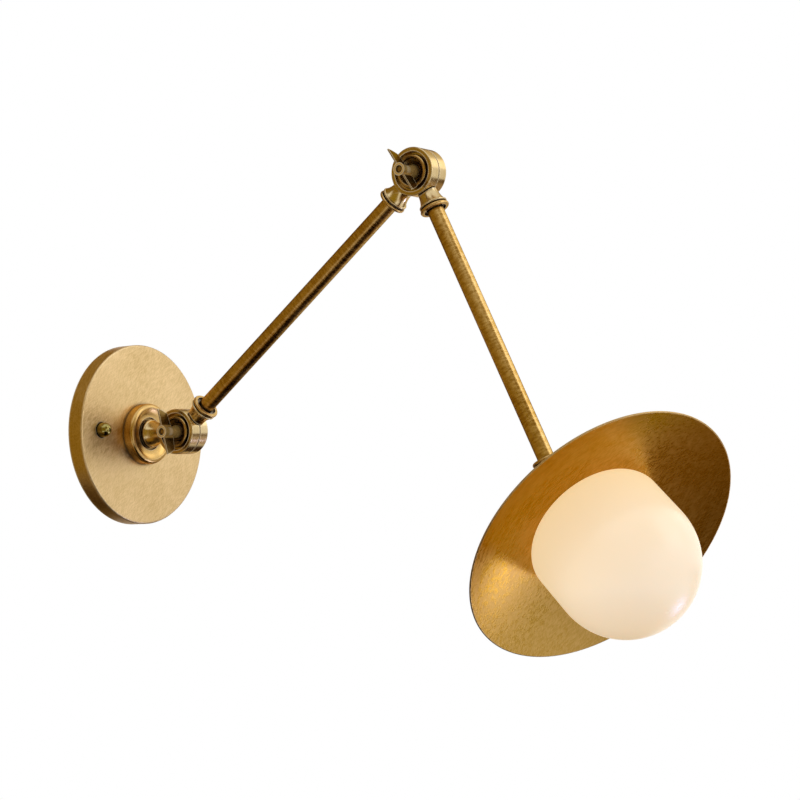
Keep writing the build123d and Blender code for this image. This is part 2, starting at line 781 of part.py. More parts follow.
# Shade cap: a rosette whose front follows the dish's back
cap_radius = shade_cap_diameter / 2
cap_hole = nipple_radius + hole_clearance
cap_back = shade_stem_reach
with BuildPart() as shade_cap:
    with BuildSketch(turning_plane(shade_stem)):
        with BuildLine():
            Polyline(
                (cap_radius, dish_height(cap_radius, dish_outer)), (cap_radius, cap_back + shade_cap_edge))
            TangentArc(
                (cap_radius, cap_back + shade_cap_edge), (cap_radius - shade_cap_edge, cap_back),
                tangent=(0, -1),
            )
            Polyline(
                (cap_radius - shade_cap_edge, cap_back), (cap_hole, cap_back),
                (cap_hole, dish_height(cap_hole, dish_outer)),
            )
            ThreePointArc(
                (cap_hole, dish_height(cap_hole, dish_outer)),
                (cap_radius / 2, dish_height(cap_radius / 2, dish_outer)),
                (cap_radius, dish_height(cap_radius, dish_outer)),
            )
        make_face()
    revolve(axis=turning_axis(shade_stem))
save(shade_cap.part, "shade_cap")

# Gallery: a cup on the dish's floor with a flange under the glass
corner_centre = globe_radius - globe_corner
globe_mouth = corner_centre - globe_lip
gallery_radius = globe_mouth - globe_clearance
flange_radius = gallery_radius + gallery_flange
flange_top = dish_height(flange_radius, dish_inner) + gallery_flange_edge
globe_foot = flange_top + gasket_thickness
gallery_floor = shade_reach - dish_depth + gallery_base
lock_ring_start = globe_foot + globe_wall
lock_ring_end = lock_ring_start + lock_ring_height
with BuildPart() as globe_gallery:
    with BuildSketch(turning_plane(shade_stem)):
        with BuildLine():
            ThreePointArc(
                (cap_hole, dish_height(cap_hole, dish_inner)),
                (flange_radius / 2, dish_height(flange_radius / 2, dish_inner)),
                (flange_radius, dish_height(flange_radius, dish_inner)),
            )
            Polyline(
                (flange_radius, dish_height(flange_radius, dish_inner)), (flange_radius, flange_top),
                (gallery_radius, flange_top), (gallery_radius, lock_ring_end + gallery_lip),
                (gallery_radius - gallery_wall, lock_ring_end + gallery_lip),
                (gallery_radius - gallery_wall, gallery_floor), (cap_hole, gallery_floor),
                (cap_hole, dish_height(cap_hole, dish_inner)),
            )
        make_face()
    revolve(axis=turning_axis(shade_stem))
save(globe_gallery.part, "globe_gallery")

save(sleeve(shade_stem, flange_radius, gallery_radius + seat_fit, flange_top, globe_foot), "globe_gasket")
globe_lock_ring = sleeve(
    shade_stem, gallery_radius + lock_ring_width, gallery_radius + thread_fit,
    lock_ring_start, lock_ring_end)
save(globe_lock_ring, "globe_lock_ring")

# Globe: a cylinder of opal glass with a round front and an inward lip at its back
globe_mid = shade_reach + globe_centre
corner_height = globe_foot + globe_corner
inner_radius = globe_radius - globe_wall
inner_corner = globe_corner - globe_wall
diagonal = cos(pi / 4)
with BuildPart() as globe:
    with BuildSketch(turning_plane(shade_stem)):
        with BuildLine():
            Line((globe_mouth, globe_foot), (corner_centre, globe_foot))
            ThreePointArc(
                (corner_centre, globe_foot),
                (corner_centre + globe_corner * diagonal, corner_height - globe_corner * diagonal),
                (globe_radius, corner_height),
            )
            Line((globe_radius, corner_height), (globe_radius, globe_mid))
            ThreePointArc(
                (globe_radius, globe_mid),
                (globe_radius * diagonal, globe_mid + globe_radius * diagonal),
                (0, globe_mid + globe_radius),
            )
            Line((0, globe_mid + globe_radius), (0, globe_mid + inner_radius))
            ThreePointArc(
                (0, globe_mid + inner_radius),
                (inner_radius * diagonal, globe_mid + inner_radius * diagonal),
                (inner_radius, globe_mid),
            )
            Line((inner_radius, globe_mid), (inner_radius, corner_height))
            ThreePointArc(
                (inner_radius, corner_height),
                (corner_centre + inner_corner * diagonal, corner_height - inner_corner * diagonal),
                (corner_centre, globe_foot + globe_wall),
            )
            Line((corner_centre, globe_foot + globe_wall), (globe_mouth, globe_foot + globe_wall))
            Line((globe_mouth, globe_foot + globe_wall), (globe_mouth, globe_foot))
        make_face()
    revolve(axis=turning_axis(shade_stem))
save(globe.part, "globe")

# Nipple and nut that clamp the dish and the gallery, with the lampholder on top
holder_foot = gallery_floor + nipple_nut_height
shade_nipple = sleeve(
    shade_stem, nipple_radius, nipple_bore / 2,
    socket_floor, holder_foot + holder_socket_depth)
save(shade_nipple, "shade_nipple")
save(hex_nut(shade_stem, nipple_nut_flats, socket_radius, gallery_floor, holder_foot), "shade_lock_nut")

shell_radius = shell_diameter / 2
holder_floor = holder_foot + holder_base
holder_top = holder_foot + holder_height
contact_top = holder_floor + contact_height
lampholder = turned(shade_stem, [
    (nipple_bore / 2, holder_floor),
    (nipple_bore / 2, holder_foot + holder_socket_depth),
    (socket_radius, holder_foot + holder_socket_depth),
    (socket_radius, holder_foot),
    (holder_diameter / 2, holder_foot),
    (holder_diameter / 2, holder_top),
    (shell_radius + seat_fit, holder_top),
    (shell_radius + seat_fit, holder_floor),
])
save(lampholder, "lampholder")
lampholder_shell = sleeve(
    shade_stem, shell_radius, shell_radius - shell_wall, contact_top, holder_top - shell_inset)
save(lampholder_shell, "lampholder_shell")
with BuildPart() as lampholder_contact:
    with BuildSketch(shade_stem.offset(holder_floor)):
        Circle(contact_diameter / 2)
    extrude(amount=contact_height)
save(lampholder_contact.part, "lampholder_contact")

# Bulb: a metal cup in the shell and a thin round envelope on its edge
bulb_cap_end = contact_top + bulb_cap_length
bulb_cap_radius = bulb_cap_diameter / 2
bulb_cap = turned(shade_stem, [
    (0, contact_top),
    (bulb_cap_radius, contact_top),
    (bulb_cap_radius, bulb_cap_end),
    (bulb_cap_radius - bulb_cap_wall, bulb_cap_end),
    (bulb_cap_radius - bulb_cap_wall, contact_top + bulb_cap_base),
    (0, contact_top + bulb_cap_base),
])
save(bulb_cap, "bulb_cap")

bulb_radius = bulb_diameter / 2
bulb_bore = bulb_radius - bulb_wall
bulb_neck = bulb_neck_diameter / 2
neck_bore = bulb_neck - bulb_wall
bulb_shoulder = bulb_cap_end + bulb_neck_length
bulb_mid = bulb_shoulder + sqrt(bulb_radius ** 2 - bulb_neck ** 2)
inner_shoulder = bulb_mid - sqrt(bulb_bore ** 2 - neck_bore ** 2)
with BuildPart() as bulb:
    with BuildSketch(turning_plane(shade_stem)):
        with BuildLine():
            ThreePointArc((0, bulb_mid + bulb_radius), (bulb_radius, bulb_mid), (bulb_neck, bulb_shoulder))
            Polyline(
                (bulb_neck, bulb_shoulder), (bulb_neck, bulb_cap_end),
                (neck_bore, bulb_cap_end), (neck_bore, inner_shoulder),
            )
            ThreePointArc((neck_bore, inner_shoulder), (bulb_bore, bulb_mid), (0, bulb_mid + bulb_bore))
            Line((0, bulb_mid + bulb_bore), (0, bulb_mid + bulb_radius))
        make_face()
    revolve(axis=turning_axis(shade_stem))
save(bulb.part, "bulb")
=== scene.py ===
"""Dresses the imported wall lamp: procedural finishes, studio light and the photograph's camera."""

from math import pi, radians

import bpy
from mathutils import Matrix, Vector

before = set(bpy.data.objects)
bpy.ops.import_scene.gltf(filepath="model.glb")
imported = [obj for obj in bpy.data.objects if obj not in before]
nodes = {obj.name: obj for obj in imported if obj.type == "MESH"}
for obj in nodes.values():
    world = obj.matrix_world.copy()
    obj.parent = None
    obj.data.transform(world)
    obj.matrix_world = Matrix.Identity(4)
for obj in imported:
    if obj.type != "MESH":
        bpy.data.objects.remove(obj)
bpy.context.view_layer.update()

MM = 0.001

# Sockets of a mix node that mixes colours
MIX_FACTOR = 0
MIX_FIRST = 6
MIX_SECOND = 7
MIX_RESULT = 2

# Camera of the photograph: its axes and place in the lamp's frame, in metres
CAMERA_RIGHT = Vector((0.565062, -0.823897, -0.043574))
CAMERA_UP = Vector((-0.012970, -0.061678, 0.998012))
CAMERA_BACK = Vector((-0.824946, -0.563373, -0.045537))
CAMERA_PLACE = Vector((-1.089307, -0.981849, -0.049225))
CAMERA_LENS = 90.0
CAMERA_SENSOR = 36.0
CAMERA_NEAR = 0.05
CAMERA_FAR = 100.0

# Axes and points that the finishes follow, at rest
ORIGIN = Vector((0, 0, 0))
DOWN = Vector((0, 0, -1))
WALL_AXIS = Vector((0, -1, 0))
PIVOT_AXIS = Vector((1, 0, 0))
ARM_1_WAY = Vector((0, -0.798636, 0.601815))
ARM_2_WAY = Vector((0, -0.410719, -0.911762))
SHADE_WAY = Vector((-0.297316, -0.736152, -0.608016))
SHADE_ACROSS = Vector((0.817145, -0.525569, 0.236752))
WALL_PIVOT = Vector((0, -49.5, 0)) * MM
ELBOW_PIVOT = Vector((0, -260.739, 159.180)) * MM
SHADE_PIVOT = Vector((0, -356.026, -52.349)) * MM
CENTRE = Vector((0, -200, 0)) * MM

# Colours of the brass: light and deep tones, near-black corners that are partly patinated and partly painted
# shade, pale rubbed edges that are partly a painted highlight, and the tint at grazing angles
BRASS_LIGHT = (0.74, 0.50, 0.20, 1)
BRASS_DEEP = (0.56, 0.335, 0.085, 1)
BRASS_PATINA_AND_SHADE = (0.016, 0.007, 0.002, 1)
BRASS_WORN_HIGHLIGHT = (0.92, 0.76, 0.50, 1)
BRASS_EDGE = (0.55, 0.36, 0.15, 1)
PLATE_LIGHT = (0.92, 0.69, 0.37, 1)
PLATE_DEEP = (0.61, 0.41, 0.165, 1)
DISH_LIGHT = (0.58, 0.36, 0.11, 1)
DISH_DEEP = (0.38, 0.21, 0.03, 1)
TUBE_LIGHT = (0.84, 0.59, 0.25, 1)
TUBE_DEEP = (0.44, 0.25, 0.055, 1)
TUBE_EDGE = (0.22, 0.14, 0.06, 1)
# The wing nut's barrel: a bright golden colour that stands in as a painted highlight
BARREL_HIGHLIGHT_LIGHT = (0.95, 0.66, 0.24, 1)
BARREL_HIGHLIGHT_DEEP = (0.74, 0.46, 0.12, 1)
KNUCKLE_LIGHT = (0.82, 0.66, 0.39, 1)
KNUCKLE_DEEP = (0.54, 0.38, 0.15, 1)
CAP_NUT_LIGHT = (0.50, 0.42, 0.13, 1)
CAP_NUT_DEEP = (0.12, 0.09, 0.02, 1)
# The wings: a near-black painted shade on the same brass as the barrel
WING_PAINTED_SHADE = (0.13, 0.085, 0.03, 1)

# Brass: scales of its noises per metre, the half widths kept of them, and their shares in tone and roughness
NOISE_MIDDLE = 0.5
STREAK_DETAIL = 1.5
STREAK_REACH = 0.16
RING_DETAIL = 3.0
RING_REACH = 0.14
STROKE_REACH = 0.20
CLOUD_DETAIL = 6.0
CLOUD_ROUGH = 0.6
CLOUD_REACH = 0.14
SPECK_SCALE = 1500.0
SPECK_DETAIL = 2.0
SPECK_REACH = 0.16
CLOUD_IN_TONE = 0.34
LINES_IN_GRIT = 0.7
GRIT_IN_ROUGHNESS = 0.6
ROUGHNESS_REACH = 0.30
RELIEF_DEPTH = 0.12 * MM
COAT_ROUGHNESS = 0.22
OCCLUSION_SAMPLES = 6
# Openness inside the solid where the pale rubbed edges, partly a painted highlight, begin and end, and their
# metalness
WORN_HIGHLIGHT_FROM = 0.55
WORN_HIGHLIGHT_TO = 0.95
WORN_HIGHLIGHT_METAL = 0.2
RING_SCALE = 1500.0
KNUCKLE_RING_SCALE = 4000.0
TUBE_FINE = 260.0
TUBE_COARSE = 760.0

# Wing nuts, one brass piece given lit and shaded colours: the radius where the barrel's golden painted
# highlight ends, the one where the wings' painted shade is full, and how far the painted shade replaces the
# golden highlight
BARREL_HIGHLIGHT_END = 4.2 * MM
WING_SHADE_START = 5.4 * MM
WING_SHADE_SHARE = 0.9

# Pieces inside: detail, reach and relief of their mottle
MOTTLE_SCALE = 300.0
MOTTLE_DETAIL = 4.0
MOTTLE_REACH = 0.15
GRAIN_TO_MOTTLE = 8
GRAIN_DETAIL = 2.0
GRAIN_REACH = 0.2
GRAIN_DEPTH = 0.1 * MM

# Opal globe: where its colour and glow turn from a warm painted reflection of the brass dish to pale, along
# the shade's axis from the pivot, and where a painted shade darkens it, down from the frame's origin
GLOBE_BACK = 35.5 * MM
GLOBE_FRONT = 121 * MM
PAINTED_SHADE_FROM = 112 * MM
PAINTED_SHADE_TO = 146 * MM
PAINTED_SHADE_SHARE = 0.8
# Opal colours and glow: the back ones warm as a painted reflection of the brass dish, the low glow a painted
# shade
OPAL_BACK_DISH_REFLECTION = (0.66, 0.55, 0.41, 1)
OPAL_FRONT = (0.70, 0.66, 0.60, 1)
GLOW_BACK_DISH_REFLECTION = (1.0, 0.77, 0.42, 1)
GLOW_FRONT = (0.76, 0.66, 0.51, 1)
GLOW_LOW_PAINTED_SHADE = (0.62, 0.44, 0.22, 1)
GLOW_STRENGTH = 0.71
OPAL_CLOUD_SCALE = 60.0
OPAL_CLOUD_DETAIL = 3.0
OPAL_UNEVEN = 0.12
OPAL_GRAIN_SCALE = 900.0
OPAL_ROUGH = (0.28, 0.36)
OPAL_SCATTER = 0.6
OPAL_SCATTER_RADIUS = (1.0, 0.8, 0.6)
OPAL_SCATTER_DEPTH = 6 * MM

# Bulb inside the globe
BULB_LIGHT = (0.98, 0.97, 0.94, 1)
BULB_DEEP = (0.95, 0.93, 0.88, 1)
BULB_GLOW = (1.0, 0.8, 0.55, 1)
BULB_STRENGTH = 0.6
BULB_CLOUD_SCALE = 500.0
BULB_CLOUD_DETAIL = 3.0
BULB_ROUGH = (0.42, 0.55)

# Studio: the white that is seen, the light that falls, and where the floor fades into white, in metres
WHITE = (1, 1, 1, 1)
SOFT_WHITE = (1.0, 0.98, 0.95)
AMBIENT_LEVEL = 0.34
FLOOR_DROP = 1.25
FLOOR_WIDTH = 30
FLOOR_LIGHT = (0.94, 0.94, 0.93, 1)
FLOOR_DEEP = (0.90, 0.90, 0.89, 1)
FLOOR_CLOUD_SCALE = 3.0
FLOOR_CLOUD_DETAIL = 4.0
FADE_FROM = 0.8
FADE_TO = 2.4
FADE_LEAST = 0.45
CARD_FADE_FROM = 0.75

# Softboxes: place along the camera's axes (right, up, back), width and height in metres, radiance,
# and whether the brass reflects them
SOFTBOXES = {
    "left_softbox": ((-1.5, 0.5, 0.35), (1.0, 1.5), 1.1, False),
    "right_softbox": ((1.4, 0.9, 0.35), (0.9, 1.3), 1.2, True),
}

# Cards that the brass reflects: place along the camera's axes, width and height in metres, colour
CARDS = {
    "left_flag": ((-1.5, 0.0, 0.35), (3.1, 3.0), (0.29, 0.18, 0.022, 1)),
    "low_flag": ((0.0, -0.85, 0.15), (2.1, 2.0), (0.31, 0.17, 0.018, 1)),
    "pale_card": ((1.00, -0.76, -0.33), (0.36, 0.30), (4.2, 4.4, 8.0, 1)),
    "low_right_flag": ((1.45, -0.87, -0.95), (1.1, 0.9), (0.40, 0.28, 0.12, 1)),
    "bright_card": ((1.14, 0.75, -0.83), (0.9, 0.6), (1.9, 1.9, 1.9, 1)),
    "side_strip": ((1.53, -0.37, -0.65), (1.4, 0.34), (0.16, 0.10, 0.04, 1)),
    "top_strip": ((0.25, 0.70, -1.5), (1.2, 0.35), (0.20, 0.14, 0.08, 1)),
    "left_back_flag": ((-1.1, 0.15, -1.1), (1.6, 2.8), (0.26, 0.18, 0.065, 1)),
    "low_back_flag": ((-0.25, -0.72, -0.45), (1.9, 0.75), (0.04, 0.017, 0.003, 1)),
    "top_flag": ((-0.6, 0.95, -0.4), (1.9, 1.2), (0.29, 0.18, 0.022, 1)),
    "arm_flag": ((0.04, -0.38, 0.11), (0.57, 0.84), (0.006, 0.002, 0.001, 1)),
    "camera_flag": ((-0.15, 0.35, 1.8), (2.6, 2.4), (0.33, 0.225, 0.018, 1)),
    "upper_flag": ((0.9, 0.95, 1.0), (1.3, 1.3), (0.33, 0.225, 0.018, 1)),
}


def new_material(name):
    material = bpy.data.materials.new(name)
    material.use_nodes = True
    material.node_tree.nodes.clear()
    return material, material.node_tree


def add(tree, kind, inputs=None, **settings):
    """Adds a node, with its settings, and its inputs as numbers or as links."""
    made = tree.nodes.new(kind)
    for key, value in settings.items():
        setattr(made, key, value)
    for key, value in (inputs or {}).items():
        if isinstance(value, bpy.types.NodeSocket):
            tree.links.new(value, made.inputs[key])
        else:
            made.inputs[key].default_value = value
    return made


def scalar_math(tree, operation, first, second):
    return add(tree, "ShaderNodeMath", {0: first, 1: second}, operation=operation).outputs[0]


def vector_math(tree, operation, first, second=(0, 0, 0)):
    made = add(tree, "ShaderNodeVectorMath", {0: first, 1: second}, operation=operation)
    return made.outputs["Value"] if operation in ("DOT_PRODUCT", "LENGTH") else made.outputs[0]


def scaled(tree, vector, factor):
    return add(tree, "ShaderNodeVectorMath", {0: vector, "Scale": factor}, operation="SCALE").outputs[0]


def total(tree, values):
    """The sum of several values."""
    whole = values[0]
    for value in values[1:]:
        whole = scalar_math(tree, "ADD", whole, value)
    return whole


def weighted(tree, *parts):
    """The sum of several values, each times its share."""
    return total(tree, [scalar_math(tree, "MULTIPLY", value, share) for value, share in parts])


def spread(tree, value, low, high, to_low, to_high):
    """Takes the range from low to high over to the range from to_low to to_high, and holds it there."""
    return add(tree, "ShaderNodeMapRange", {
        "Value": value, "From Min": low, "From Max": high, "To Min": to_low, "To Max": to_high,
    }).outputs[0]


def middle(tree, value, reach, to_low=0.0, to_high=1.0):
    """Spreads the middle of a noise, as far as reach to each side of it."""
    return spread(tree, value, NOISE_MIDDLE - reach, NOISE_MIDDLE + reach, to_low, to_high)


def mixed(tree, factor, first, second):
    inputs = {MIX_FACTOR: factor, MIX_FIRST: first, MIX_SECOND: second}
    return add(tree, "ShaderNodeMix", inputs, data_type="RGBA").outputs[MIX_RESULT]


def noise(tree, vector, scale, detail, rough=0.5):
    return add(tree, "ShaderNodeTexNoise", {
        "Vector": vector, "Scale": scale, "Detail": detail, "Roughness": rough,
    }).outputs[0]


def object_place(tree):
    return add(tree, "ShaderNodeTexCoord").outputs["Object"]


def height_along(tree, place, origin, axis):
    offset = vector_math(tree, "SUBTRACT", place, origin)
    return vector_math(tree, "DOT_PRODUCT", offset, axis)


def radius_about(tree, place, origin, axis):
    offset = vector_math(tree, "SUBTRACT", place, origin)
    return vector_math(tree, "LENGTH", vector_math(tree, "CROSS_PRODUCT", offset, axis))


def occlusion(tree, reach, inside=False):
    """How open a spot is within a reach in millimetres, outside the solid or inside it."""
    made = add(tree, "ShaderNodeAmbientOcclusion", {"Distance": reach * MM}, samples=OCCLUSION_SAMPLES,
               inside=inside)
    return made.outputs["AO"]


def relief(tree, height, strength, depth):
    return add(tree, "ShaderNodeBump", {"Height": height, "Strength": strength, "Distance": depth}).outputs[0]


def principled(tree, inputs):
    """The material's shader, joined to its output."""
    shader = add(tree, "ShaderNodeBsdfPrincipled", inputs)
    add(tree, "ShaderNodeOutputMaterial", {0: shader.outputs[0]})


def along_grain(tree, place, axis, fine, coarse):
    """Streaks with an axis: the place is scaled by fine across it and by coarse along it."""
    along = scaled(tree, axis, vector_math(tree, "DOT_PRODUCT", place, axis))
    across = vector_math(tree, "SUBTRACT", place, along)
    stretched = vector_math(tree, "ADD", scaled(tree, across, fine), scaled(tree, along, coarse))
    return middle(tree, noise(tree, stretched, 1.0, STREAK_DETAIL), STREAK_REACH)


def turned_grain(tree, place, origin, axis, fine):
    """Rings about an axis, as a lathe leaves them."""
    height = height_along(tree, place, origin, axis)
    radius = radius_about(tree, place, origin, axis)
    rings = add(tree, "ShaderNodeCombineXYZ", {0: radius, 1: height}).outputs[0]
    return middle(tree, noise(tree, rings, fine, RING_DETAIL), RING_REACH)


def stroke_grain(tree, place, axis, side, fine, coarse, turns):
    """Short straight brush strokes that cross at several angles on a surface square to the axis."""
    layers = []
    for turn in turns:
        way = Matrix.Rotation(radians(turn), 3, axis) @ side
        layers.append(along_grain(tree, place, way, fine, coarse))
    least = (NOISE_MIDDLE - STROKE_REACH) * len(turns)
    most = (NOISE_MIDDLE + STROKE_REACH) * len(turns)
    return spread(tree, total(tree, layers), least, most, 0.0, 1.0)


def ring_finish(origin, axis, fine=RING_SCALE):
    return lambda tree, place: turned_grain(tree, place, origin, axis, fine)


def tube_finish(axis):
    return lambda tree, place: along_grain(tree, place, axis, TUBE_FINE, TUBE_COARSE)


def stroke_finish(axis, side, fine, coarse, turns):
    return lambda tree, place: stroke_grain(tree, place, axis, side, fine, coarse, turns)


def brass(name, grain, light=BRASS_LIGHT, deep=BRASS_DEEP, rough=(0.24, 0.38), mottle=38.0, bump=0.10,
          cavity=(3.2, 0.30, 0.85), patina_and_shade=1.0, wear_highlight=(0.85, 0.7), speckle=0.24, coat=0.25, rim=BRASS_EDGE,
          metal=1.0, wing_shade_axis=None):
    """Aged brass under lacquer: mottled tone, patinated corners with painted shade, pale rubbed edges with a
    painted highlight, and the grain of its finish.

    grain makes the lines of the finish. rough is the least and the most roughness. mottle is the scale of the
    clouds per metre, and speckle the share of fine specks in the tone. cavity is the reach of a corner in
    millimetres, with the openness at which the corners' patinated tone and painted shade are full and at
    which they end. The edge pair gives the strength of the pale rubbed edges, partly a painted highlight, and
    their reach in millimetres. rim tints the metal at grazing angles, and metal is how metallic it is away
    from the rubbed edges. The wings' axis argument gives an origin and direction: away from that axis the
    metal gets a painted shade, darker and fully metallic.
    """
    material, tree = new_material(name)
    place = object_place(tree)
    lines = grain(tree, place)
    cloud = middle(tree, noise(tree, place, mottle, CLOUD_DETAIL, CLOUD_ROUGH), CLOUD_REACH)
    speck = middle(tree, noise(tree, place, SPECK_SCALE, SPECK_DETAIL), SPECK_REACH)
    lines_in_tone = 1.0 - CLOUD_IN_TONE - speckle
    tone = weighted(tree, (cloud, CLOUD_IN_TONE), (lines, lines_in_tone), (speck, speckle))
    colour = mixed(tree, tone, deep, light)
    if wing_shade_axis:
        # Painted shade: past the barrel the wings turn near-black and fully metallic
        away = spread(tree, radius_about(tree, place, *wing_shade_axis), BARREL_HIGHLIGHT_END, WING_SHADE_START, 0.0, WING_SHADE_SHARE)
        colour = mixed(tree, away, colour, WING_PAINTED_SHADE)
        metal = spread(tree, away, 0.0, WING_SHADE_SHARE, metal, 1.0)
    wear_highlight_strength, wear_highlight_reach = wear_highlight
    # Pale, less metallic edges: partly rubbed brass, partly a painted highlight
    worn_highlight = spread(tree, occlusion(tree, wear_highlight_reach, inside=True), WORN_HIGHLIGHT_FROM, WORN_HIGHLIGHT_TO, wear_highlight_strength, 0.0)
    colour = mixed(tree, worn_highlight, colour, BRASS_WORN_HIGHLIGHT)
    cavity_reach, cavity_full, cavity_end = cavity
    # Near-black corners and recesses: patinated brass and painted shade together
    corner_patina_and_shade = spread(tree, occlusion(tree, cavity_reach), cavity_full, cavity_end, patina_and_shade, 0.0)
    colour = mixed(tree, corner_patina_and_shade, colour, BRASS_PATINA_AND_SHADE)
    grit = weighted(tree, (lines, LINES_IN_GRIT), (speck, 1.0 - LINES_IN_GRIT))
    unevenness = weighted(tree, (grit, GRIT_IN_ROUGHNESS), (cloud, 1.0 - GRIT_IN_ROUGHNESS))
    principled(tree, {
        "Base Color": colour,
        "Roughness": middle(tree, unevenness, ROUGHNESS_REACH, *rough),
        "Normal": relief(tree, grit, bump, RELIEF_DEPTH),
        "Metallic": spread(tree, worn_highlight, 0.0, 1.0, metal, WORN_HIGHLIGHT_METAL),
        "Specular Tint": rim,
        "Coat Weight": coat,
        "Coat Roughness": COAT_ROUGHNESS,
    })
    return material


def plain(name, light, deep, rough, metallic=0.0, bump=0.15):
    """A simple finish with a fine mottle, for the pieces inside."""
    material, tree = new_material(name)
    place = object_place(tree)
    mottle = noise(tree, place, MOTTLE_SCALE, MOTTLE_DETAIL)
    grain = noise(tree, place, MOTTLE_SCALE * GRAIN_TO_MOTTLE, GRAIN_DETAIL)
    principled(tree, {
        "Base Color": mixed(tree, middle(tree, mottle, MOTTLE_REACH), deep, light),
        "Roughness": middle(tree, grain, GRAIN_REACH, *rough),
        "Normal": relief(tree, grain, bump, GRAIN_DEPTH),
        "Metallic": metallic,
    })
    return material


def opal(name):
    """Opal glass lit from inside, with painted light: a warm painted reflection of the dish where it sits in
    it, paler at its front, and a painted shade below.
    """
    material, tree = new_material(name)
    place = object_place(tree)
    height = height_along(tree, place, SHADE_PIVOT, SHADE_WAY)
    # Painted reflection: warm near the dish, paler towards the front
    reach = spread(tree, height, GLOBE_BACK, GLOBE_FRONT, 0.0, 1.0)
    cloud = noise(tree, place, OPAL_CLOUD_SCALE, OPAL_CLOUD_DETAIL)
    uneven = scalar_math(tree, "MULTIPLY", scalar_math(tree, "SUBTRACT", cloud, NOISE_MIDDLE), OPAL_UNEVEN)
    depth = scalar_math(tree, "ADD", reach, uneven)
    # Painted shade: the glow darkens towards the floor
    painted_shade_below = spread(tree, vector_math(tree, "DOT_PRODUCT", place, DOWN), PAINTED_SHADE_FROM, PAINTED_SHADE_TO, 0.0, PAINTED_SHADE_SHARE)
    grain = noise(tree, place, OPAL_GRAIN_SCALE, GRAIN_DETAIL)
    principled(tree, {
        "Base Color": mixed(tree, depth, OPAL_BACK_DISH_REFLECTION, OPAL_FRONT),
        "Roughness": middle(tree, grain, GRAIN_REACH, *OPAL_ROUGH),
        "Subsurface Weight": OPAL_SCATTER,
        "Subsurface Radius": OPAL_SCATTER_RADIUS,
        "Subsurface Scale": OPAL_SCATTER_DEPTH,
        "Emission Color": mixed(tree, painted_shade_below, mixed(tree, depth, GLOW_BACK_DISH_REFLECTION, GLOW_FRONT), GLOW_LOW_PAINTED_SHADE),
        "Emission Strength": GLOW_STRENGTH,
    })
    return material


def frosted(name):
    """The bulb's glowing glass."""
    material, tree = new_material(name)
    cloud = noise(tree, object_place(tree), BULB_CLOUD_SCALE, BULB_CLOUD_DETAIL)
    principled(tree, {
        "Base Color": mixed(tree, cloud, BULB_DEEP, BULB_LIGHT),
        "Roughness": middle(tree, cloud, GRAIN_REACH, *BULB_ROUGH),
        "Emission Color": BULB_GLOW,
        "Emission Strength": BULB_STRENGTH,
    })
    return material


def dress(material, *names):
    """Gives the named pieces one finish."""
    for name in names:
        slots = nodes[name].data.materials
        slots.clear()
        slots.append(material)


def dress_wall_side():
    strokes = stroke_finish(WALL_AXIS, PIVOT_AXIS, fine=1050.0, coarse=150.0, turns=(25, 45, 70))
    rings = ring_finish(ORIGIN, WALL_AXIS)
    # The plate's wide rubbed edge gives its rim a pale line, partly a painted highlight
    plate = brass("plate_brass", strokes, light=PLATE_LIGHT, deep=PLATE_DEEP, mottle=26.0, rough=(0.30, 0.48),
                  bump=0.4, wear_highlight=(0.9, 1.5))
    cap_nut = brass("cap_nut_brass", rings, light=CAP_NUT_LIGHT, deep=CAP_NUT_DEEP, rough=(0.12, 0.20))
    dress(plate, "back_plate")
    dress(brass("foot_brass", rings), "escutcheon")
    dress(cap_nut, "canopy_cap_nuts")


def dress_arm(number, way, pivot, *turned_too):
    """A brushed tube, and the turned pieces at its ends."""
    tube = brass(f"arm_{number}_brass", tube_finish(way), light=TUBE_LIGHT, deep=TUBE_DEEP, mottle=22.0,
                 bump=0.16, wear_highlight=(0.0, 0.5), speckle=0.1, coat=0.05, rim=TUBE_EDGE)
    ferrule = brass(f"ferrule_{number}_brass", ring_finish(pivot, way))
    dress(tube, f"arm_{number}_tube")
    dress(ferrule, f"arm_{number}_lower_ferrule", f"arm_{number}_upper_ferrule", *turned_too)


def dress_knuckle(knuckle, pivot, axis):
    """Polished discs, a cup washer with painted shade filling its inside, and a wing nut with a golden barrel
    as a painted highlight and painted shade on its wings.
    """
    rings = ring_finish(pivot, axis, KNUCKLE_RING_SCALE)
    disc = brass(f"{knuckle}_knuckle_brass", rings, light=KNUCKLE_LIGHT, deep=KNUCKLE_DEEP, mottle=60.0,
                 rough=(0.15, 0.26), bump=0.03, cavity=(1.7, 0.25, 0.75), wear_highlight=(1.0, 1.0), speckle=0.1)
    # Painted shade: the cup's long reach darkens its whole inside to near-black
    cup = brass(f"{knuckle}_cup_brass", rings, rough=(0.16, 0.26), bump=0.03, cavity=(9.0, 0.66, 0.97),
                wear_highlight=(1.0, 0.8), metal=0.9)
    # Painted light on the wing nut: a golden barrel as a painted highlight and near-black painted shade on
    # its wings
    wing = brass(f"{knuckle}_wing_brass", rings, light=BARREL_HIGHLIGHT_LIGHT, deep=BARREL_HIGHLIGHT_DEEP, rough=(0.20, 0.32),
                 bump=0.03, patina_and_shade=0.3, wear_highlight=(1.0, 0.7), coat=0.0, metal=0.5, wing_shade_axis=(pivot, axis))
    dress(disc, f"{knuckle}_knuckle_near", f"{knuckle}_knuckle_far")
    dress(cup, f"{knuckle}_cup_washer", f"{knuckle}_pivot_bolt")
    dress(wing, f"{knuckle}_wing_nut")


